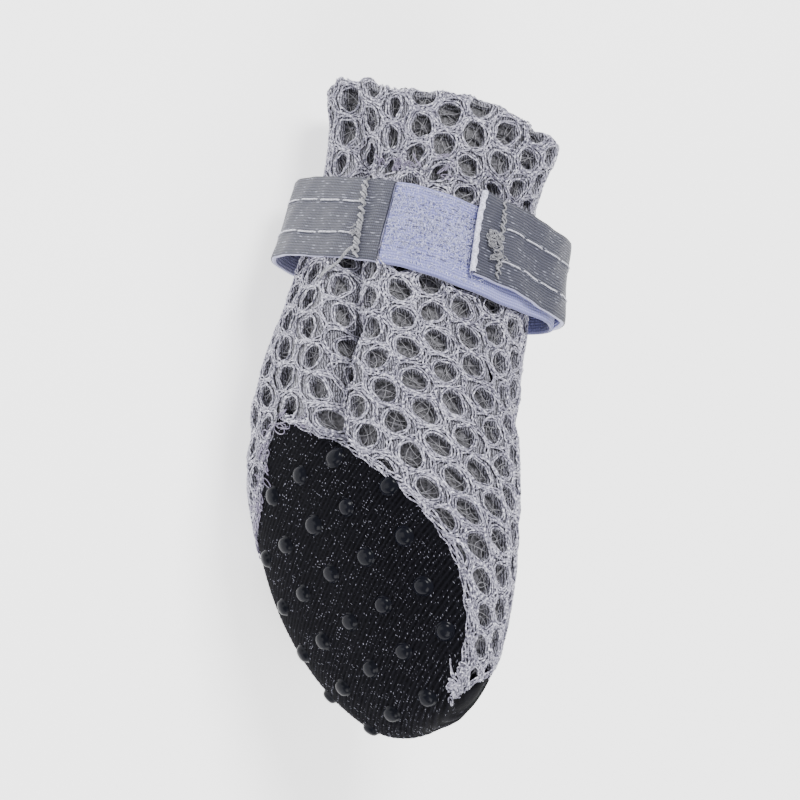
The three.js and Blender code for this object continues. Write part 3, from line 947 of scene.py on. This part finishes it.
def grip_dots():
    """Rubber domes: a rounded cap with a small flattened skirt where it was printed on the twill."""
    around = 28
    profile = [
        # share of the radius, share of the height
        (1.22, -0.25), (1.2, -0.02), (1.08, 0.1), (1.0, 0.28), (0.93, 0.5), (0.8, 0.72),
        (0.6, 0.88), (0.35, 0.96), (0.12, 1.0),
    ]
    turn = np.arange(around) * 2 * math.pi / around
    side = grid_faces(len(profile), around, wrap=True)
    last_ring = np.arange(around) + (len(profile) - 1) * around
    middle_point = np.full(around, len(profile) * around)
    cap = np.stack([last_ring, np.roll(last_ring, -1), middle_point], 1)
    faces = np.concatenate([side[:, [0, 1, 2]], side[:, [0, 2, 3]], cap])
    parts = []
    for angle, arc in dot_places():
        middle, up = cloth(angle, arc, -0.1)
        first = unit(cloth(angle, arc - 1, 0)[0] - cloth(angle, arc + 1, 0)[0])
        second = np.cross(up, first)
        wobble = 1 + rng.normal(0, 0.03) + 0.035 * np.sin(turn * 2 + rng.uniform(0, 6))
        shift = rng.normal(0, 0.12, 2)
        middle = middle + shift[0] * first + shift[1] * second
        ring = np.cos(turn)[:, None] * first + np.sin(turn)[:, None] * second
        points = []
        for share, height in profile:
            radius = DOT_RADIUS * (share * wobble)[:, None]
            points.append(middle + radius * ring + up * height * DOT_HEIGHT * (1.0 if height < 0 else 1.08))
        points.append((middle + up * DOT_HEIGHT * 1.09)[None])
        parts.append((np.concatenate(points), faces))
    return make_piece("sole_grip_dots", *joined(parts), RUBBER, "black_twill")


def sole_glints():
    """Short pale thread bits along the ribs: painted glints of the twill's shiny filaments."""
    count = 1200
    angle, arc = rng.uniform(-112, 72, count), rng.uniform(LENGTH - 76, LENGTH - 3, count)
    on_crest = rib_wave(lookup(BARE, angle, arc)) > 0.2
    keep = (lookup(PANEL, angle, arc) > 1.2) & on_crest
    angle, arc = angle[keep, None], arc[keep, None]
    length = rng.uniform(0.12, 0.42, angle.shape)
    heading = rng.normal(1.2, 0.5, angle.shape)
    share = np.linspace(-0.5, 0.5, 3)[None]
    angle = angle + np.degrees(length * share * np.cos(heading) / SHAFT_RADIUS)
    arc = arc + length * share * np.sin(heading)
    points, normals = cloth(angle, arc, 0.05 * rib_wave(lookup(BARE, angle, arc)) + 0.02)
    tubes = tube_arrays(points, normals, 0.035, 3)
    return make_piece("sole_glints", *tubes, GLINT, "black_twill")


for piece in (sole_panel(), grip_dots(), sole_glints()):
    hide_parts("sole")

# ---- strap: a ribbed ribbon over loop tape -------------------------------------------------------
STRAP = {"width": 15.0, "thickness": 1.3, "tape": 1.1}
STRAP_CENTRE = np.array([-44.2, 46.2, 0.0])
STRAP_AXIS = plane_axes(np.array(35.0), np.array(18.0))[0]
LOBES = ((-35, 3.4, 27), (145, 4.0, 22))      # where the slack band stands off: angle, reach, spread
RIBBON_START, TAB_END, TAPE_END = 36.0, 83.0 - 360, 166.0
STITCH_LINE, TAB_STITCH_LINE = 24.5, -267.5
GAP = 0.3
SEAT = 0.12                 # the bands' undersides stand this far over the gap
BAND_STEP = 0.6             # degrees
BAND_RADIUS = 19.0          # turns millimetres along the band into degrees


def band_station(angle, across):
    """Station of the bare shaft under the band: at an angle, some millimetres across the band."""
    return station_where(angle, lambda point: (point - STRAP_CENTRE) @ STRAP_AXIS < across, 6.0, LAST)


def band_height(angle):
    """How far the slack band stands off the shaft."""
    return sum(reach * np.exp(-(turn_between(angle, at) / spread) ** 2) for at, reach, spread in LOBES)


def band_points(angle, across, height):
    """A point on the band; the normal is the shaft's own, taken across and along the band."""
    station = band_station(angle, across)
    point = skin(station, angle)
    ahead = skin(station, angle + 1) - skin(station, angle - 1)
    side = skin(station + 0.05, angle) - skin(station - 0.05, angle)
    normal = unit(np.cross(ahead, side))
    normal = normal * np.sign((normal * (point - STRAP_CENTRE)).sum(-1, keepdims=True))
    return point + normal * (height + band_height(angle))[..., None], normal


def ribbon_drift(angle):
    """The free end of the ribbon is pressed down a little nearer the rim than the tape."""
    return 1.4 * smooth(-angle, 225, 262)


def tape_drift(angle):
    return -0.8 * smooth(angle, 50, 96)


def ribbon_lift(angle):
    """The ribbon climbs onto the tape where the tape begins."""
    share = smooth(-angle, 360 - TAPE_END - 45, 360 - TAPE_END - 8)
    return GAP + share * (STRAP["tape"] + GAP)


def ribbon_waves(angle, across):
    """The ribbon is not quite flat: soft dents beside its stitches and a lifted tab edge."""
    dents = -0.25 * np.exp(-((angle - STITCH_LINE) / 3.2) ** 2)
    dents += -0.2 * np.exp(-((angle - TAB_STITCH_LINE) / 2.6) ** 2)
    dents += 0.35 * smooth(-angle, 268, 277) * (0.5 + across / STRAP["width"])
    dents += 0.12 * np.sin(angle * 0.21 + across * 0.35) + 0.07 * np.sin(angle * 0.5 - across * 0.6)
    return dents


def on_ribbon(angle, across, height):
    """A point some height over where the ribbon rests, and its normal."""
    return band_points(angle, across + ribbon_drift(angle), ribbon_lift(angle) + height)


def band_mesh(start, end, half, thickness, lift, drift_across, shape, rows):
    """A closed band: across it a flat oval with rounded edges, along it from one angle to another."""
    steps = int(abs(end - start) / BAND_STEP)
    angle = np.linspace(start, end, steps + 1)
    share = np.linspace(-1, 1, rows)
    edge = 1 - 0.16 * np.abs(share) ** 14
    top = np.stack([share * half, thickness * (0.5 + 0.5 * edge)], 1)
    bottom = np.stack([share[::-1] * half, thickness * (0.5 - 0.5 * edge[::-1])], 1)
    section = np.concatenate([top, [(half + 0.12, thickness / 2)], bottom, [(-half - 0.12, thickness / 2)]])
    around = len(section)
    angles_here = np.broadcast_to(angle[:, None], (len(angle), around))
    across = np.broadcast_to(section[:, 0], angles_here.shape)
    height = section[:, 1][None] + lift(angles_here) + SEAT + shape(angles_here, across)
    points, _ = band_points(angles_here, across + drift_across(angles_here), height)
    faces = grid_faces(len(angle), around, wrap=True)
    along = np.concatenate([[0], np.linalg.norm(np.diff(points[:, rows // 2], axis=0), axis=1).cumsum()])
    underside = np.where(np.arange(around) < rows, 0.0, 50.0)    # a mark for the ribbon's material
    flat = np.stack(np.broadcast_arrays(along[:, None], across + STRAP["width"] / 2, underside), -1)
    ring = np.arange(rows)
    under = 2 * rows - ring
    cap = np.stack([ring[:-1], ring[1:], under[1:], under[:-1]], 1)
    caps = [cap, cap + (len(angle) - 1) * around]
    if start < end:
        faces = faces[:, ::-1]
        caps[0] = caps[0][:, ::-1]
    else:
        caps[1] = caps[1][:, ::-1]
    return points.reshape(-1, 3), np.concatenate([faces] + caps), flat.reshape(-1, 3)


def ribbon_piece():
    half, thickness = STRAP["width"] / 2 - 0.1, STRAP["thickness"] - 0.25
    points, faces, flat = band_mesh(RIBBON_START, TAB_END, half, thickness, ribbon_lift, ribbon_drift,
                                    ribbon_waves, 24)
    return make_piece("strap_ribbon", points, faces, RIBBON, "grey_ribbon", flat)


def tape_waves(angle, across):
    return 0.1 * np.sin(angle * 0.3) + 0.06 * np.sin(across * 0.9 + angle * 0.17)


def tape_piece():
    half, thickness = STRAP["width"] / 2, STRAP["tape"] - 0.35
    points, faces, flat = band_mesh(RIBBON_START + 1, TAPE_END, half, thickness, lambda angle: GAP,
                                    tape_drift, tape_waves, 20)
    return make_piece("loop_tape_base", points, faces, TAPE, "loop_tape", flat)


def tape_pile():
    """Loops of the tape's pile, standing all ways where the tape is bare."""
    count = 2200
    angle = rng.uniform(RIBBON_START + 1.5, 90, count)[:, None]
    across = np.clip(rng.normal(0.6, 3.4, count), -6.6, 6.8)[:, None]
    share = np.linspace(0, 1, 6)[None]
    turn = rng.uniform(0, 2 * math.pi, count)[:, None]
    span = rng.uniform(0.3, 0.8, count)[:, None]
    tall = rng.uniform(0.22, 0.5, count)[:, None]
    angle = angle + np.degrees(span * (share - 0.5) * np.cos(turn) / SHAFT_RADIUS)
    across = across + span * (share - 0.5) * np.sin(turn) + tape_drift(angle)
    height = GAP + STRAP["tape"] - 0.3 + tall * np.sin(math.pi * share)
    tubes = tube_arrays(*band_points(angle, across, height), 0.06, 3)
    return make_piece("loop_tape_pile", *tubes, PILE, "loop_tape")


STITCH_PITCH = 4.0
STITCH_LENGTH = 3.7


def dash_row(start, end, across_start, across_end):
    """A row of stitches as thread dashes along the band, each dipping into the ribbon at its ends."""
    count = int(math.radians(abs(end - start)) * BAND_RADIUS / STITCH_PITCH)
    share = ((np.arange(count) + 0.5) / count)[:, None]
    within = np.linspace(-1, 1, 13)[None]
    angle = start + (end - start) * share + within * np.degrees(STITCH_LENGTH / 2 / BAND_RADIUS)
    across = across_start + (across_end - across_start) * share + rng.normal(0, 0.05, (count, 1)) + 0 * within
    top = SEAT + STRAP["thickness"] - 0.25 + ribbon_waves(angle, across)
    return tube_arrays(*on_ribbon(angle, across, top + 0.12 - 0.3 * within ** 10), 0.15, 5)


def twisted_row(angle_ends, across_ends, turns, radius, coil):
    """A thread wound round a stitched line across the band."""
    share = np.linspace(0, 1, turns * 12)[None]
    wind = 2 * math.pi * turns * share
    angle = np.interp(share, (0, 1), angle_ends) + np.degrees(coil / BAND_RADIUS) * np.cos(wind)
    across = np.interp(share, (0, 1), across_ends)
    height = STRAP["thickness"] + ribbon_waves(angle, across) + 0.05 + coil * 0.7 * np.sin(wind)
    return tube_arrays(*on_ribbon(angle, across, height), radius, 5)


def strap_stitches():
    """Two rows of white stitches on each end of the ribbon."""
    rows = (
        # angle at the start and the end, across at the start and the end
        (20, -110, 2.9, 2.9), (23, -110, -3.2, -3.2), (-266, -190, 2.3, 2.9), (-267, -190, -3.6, -3.2),
    )
    parts = [dash_row(*row) for row in rows]
    return make_piece("strap_stitches", *joined(parts), WHITE_THREAD, "grey_ribbon")


def strap_twists():
    """The grey thread sewn to and fro across the ribbon at both ends."""
    parts = [
        twisted_row((STITCH_LINE, 19.0), (-7.2, 7.2), 12, 0.2, 0.3),
        twisted_row((25.0, 18.4), (-7.4, 6.6), 10, 0.19, 0.42),
        twisted_row((24.0, 19.6), (-7.0, 7.4), 9, 0.16, 0.36),
        twisted_row((TAB_STITCH_LINE, -268), (-7.0, 7.2), 10, 0.17, 0.22),
        twisted_row((-267, -267.6), (-6.0, 5.0), 7, 0.15, 0.34),
    ]
    return make_piece("strap_twisted_thread", *joined(parts), GREY_THREAD, "grey_ribbon")


def tab_edge():
    """The thick pale cut edge of the strap's free end."""
    across = np.linspace(-7.4, 7.4, 40)[None]
    angle = np.full(across.shape, TAB_END - 0.3)
    height = SEAT + STRAP["thickness"] / 2 - 0.1 + ribbon_waves(angle, across) + 0.04 * np.sin(across * 3.1)
    tubes = tube_arrays(*on_ribbon(angle, across, height), 0.55, 10)
    return make_piece("strap_cut_edge", *tubes, CUT_EDGE, "grey_ribbon")


def loose_thread():
    """The twisted thread's end, of three strands, trailing from the ribbon's edge across the knit."""
    share = np.linspace(0, 1, 60)[None]
    coil = 0.17
    parts = []
    for strand in range(3):
        wind = 2 * math.pi * (5 * share + strand / 3)
        angle = STITCH_LINE - 15 * share + 1.2 * np.sin(share * 5)
        angle = angle + np.degrees(coil / SHAFT_RADIUS) * np.cos(wind)
        across = -6.3 - 5.4 * share ** 1.3 + coil * np.sin(wind)
        height = 0.9 * (1 - smooth(share, 0.2, 0.8)) + 1.6 + 0.15 * np.sin(share * 9)
        parts.append(tube_arrays(*band_points(angle, across, height), 0.15, 5))
    return make_piece("strap_loose_thread", *joined(parts), GREY_THREAD, "grey_ribbon")


def thread_fuzz():
    """A tuft of frayed thread on the tab's stitching, and a smaller one by the other stitch line."""
    share = np.linspace(0, 1, 20)[None]
    tufts = (
        # angle, across, how many threads, how far they curl
        (-270.8, -0.4, 18, 0.55), (-269, -3.4, 8, 0.5), (21.5, -3.3, 5, 0.4),
    )
    parts = []
    for middle, across, count, reach in tufts:
        phase = rng.uniform(0, 2 * math.pi, (3, count, 1))
        turns = rng.uniform(0.5, 1.4, (2, count, 1))
        shift = rng.normal(0, 0.45, (2, count, 1))
        x = shift[0] + reach * np.sin(2 * math.pi * turns[0] * share + phase[0])
        y = shift[1] * 1.6 + reach * np.cos(2 * math.pi * turns[1] * share + phase[1])
        height = STRAP["thickness"] + 0.2 + 0.3 * np.abs(np.sin(4 * share + phase[2]))
        placed = on_ribbon(middle + np.degrees(x / BAND_RADIUS), across + y, height)
        parts.append(tube_arrays(*placed, 0.07, 4))
    return make_piece("strap_fuzz", *joined(parts), GREY_THREAD, "grey_ribbon")


def tape_dashes():
    """Painted shade in the gaps of the tape's weave, as short dark marks in rows."""
    dashes = []
    for row, across in enumerate(np.arange(-4.4, 5.2, 1.05)):
        angle = 45.0 + (row % 3) * 1.6
        while angle < 84:
            length = rng.uniform(1.8, 4.6)
            if rng.random() < 0.78:
                dashes.append((angle, across + rng.normal(0, 0.12), length))
            angle += length + rng.uniform(1.4, 3.2)
    start, across, length = (np.array(column)[:, None] for column in zip(*dashes))
    share = np.linspace(0, 1, 6)[None]
    angle = start + length * share
    across = across + 0.05 * np.sin(angle * 1.7)
    height = GAP + STRAP["tape"] - 0.12 + tape_waves(angle, across) - 0.05 * np.abs(2 * share - 1) ** 3
    tubes = tube_arrays(*band_points(angle, across + tape_drift(angle), height), 0.1, 4)
    return make_piece("loop_tape_dashes", *tubes, WEAVE_GAP_SHADE, "loop_tape")


for piece in (ribbon_piece(), strap_stitches(), strap_twists(), tab_edge(), loose_thread(), thread_fuzz()):
    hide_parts("strap")
for piece in (tape_piece(), tape_pile(), tape_dashes()):
    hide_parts("loop_tape")

# ---- camera, light and floor ---------------------------------------------------------------------
# The picture's right and up in the boot's frame, and what it is aimed at, in millimetres along them.
IMAGE_RIGHT = np.array([0.408, 0.657, 0.6345])
IMAGE_UP = np.array([-0.913, 0.293, 0.2836])
AIM_RIGHT, AIM_UP = 8.88, 29.34
VIEW_SPAN = 0.1304          # metres across the picture at the boot
CAMERA_DISTANCE = 0.9
SENSOR = 36.0


def look_from(aim, right, up, distance):
    toward = np.cross(right, up)
    camera_data = bpy.data.cameras.new("camera")
    camera_data.sensor_width = SENSOR
    camera_data.lens = SENSOR * distance / VIEW_SPAN
    camera = bpy.data.objects.new("camera", camera_data)
    bpy.context.scene.collection.objects.link(camera)
    turn = Matrix(np.stack([right, up, toward], 1).tolist()).to_4x4()
    camera.matrix_world = Matrix.Translation(Vector(aim + toward * distance)) @ turn
    bpy.context.scene.camera = camera


def add_camera():
    aim = to_world(AIM_RIGHT * IMAGE_RIGHT + AIM_UP * IMAGE_UP)
    right = LAY_DOWN @ IMAGE_RIGHT
    up = LAY_DOWN @ IMAGE_UP
    right = right / np.linalg.norm(right)
    up = unit(up - right * (up @ right))
    look_from(aim, right, up, CAMERA_DISTANCE)


def add_light(name, place, size, power, target=(0, 0, 0.02)):
    data = bpy.data.lights.new(name, "AREA")
    data.size = size
    data.energy = power
    lamp = bpy.data.objects.new(name, data)
    bpy.context.scene.collection.objects.link(lamp)
    lamp.location = place
    lamp.rotation_euler = (Vector(target) - Vector(place)).to_track_quat("-Z", "Y").to_euler()


def add_floor():
    bpy.ops.mesh.primitive_plane_add(size=8.0, location=(0, 0, 0))
    floor = bpy.context.object
    floor.name = "floor"
    s = Shader("floor", Roughness=0.75)
    s.surface.inputs["Base Color"].default_value = (0.88, 0.88, 0.88, 1)
    s.surface.inputs["Emission Color"].default_value = (1, 1, 1, 1)
    s.surface.inputs["Emission Strength"].default_value = 1.6
    floor.data.materials.append(s.material)


add_camera()
add_light("key", (-0.35, 0.35, 0.8), 0.35, 13.0)
add_light("fill", (0.5, -0.6, 0.6), 0.6, 9.0)
add_light("low_fill", (-0.6, -0.7, 0.25), 0.5, 3.0)
add_floor()
world = bpy.data.worlds.new("studio")
world.use_nodes = True
world.node_tree.nodes["Background"].inputs["Color"].default_value = (1, 1, 1, 1)
world.node_tree.nodes["Background"].inputs["Strength"].default_value = 0.6
bpy.context.scene.world = world
